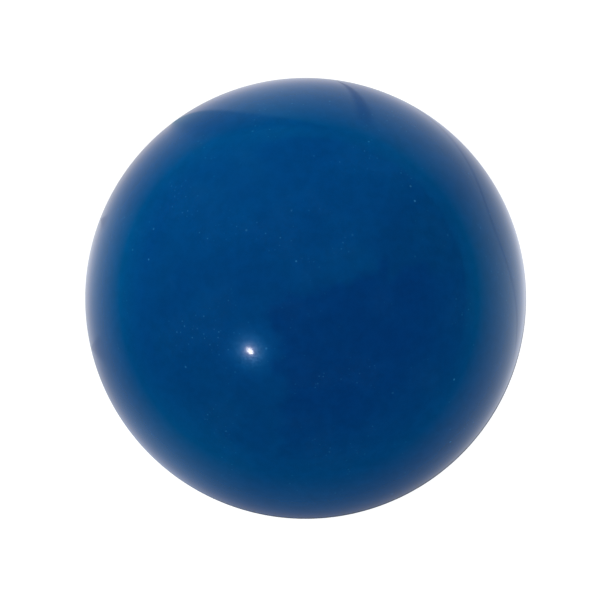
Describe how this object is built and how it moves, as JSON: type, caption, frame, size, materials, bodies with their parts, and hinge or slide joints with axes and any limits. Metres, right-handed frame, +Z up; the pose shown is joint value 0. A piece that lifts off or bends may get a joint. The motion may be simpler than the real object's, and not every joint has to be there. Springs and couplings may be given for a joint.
{
  "type": "croquet ball",
  "caption": "Smooth round lawn game ball with a glossy plastic cover of joined half shells over a pressed composition core.",
  "frame": {"origin": "the point of the ball that touches the ground, straight under its centre", "axes": "+Z up through the ball's centre and square to the cover's seam; X and Y lie in the ground plane and either may be turned about Z, because the ball is round"},
  "size_m": [0.092, 0.092, 0.0921],
  "materials": {
    "cover": "gloss",
    "core": "matte"
  },
  "bodies": {
    "root": {"core": "core", "cover_lower": "cover", "cover_upper": "cover"}
  },
  "joints": []
}
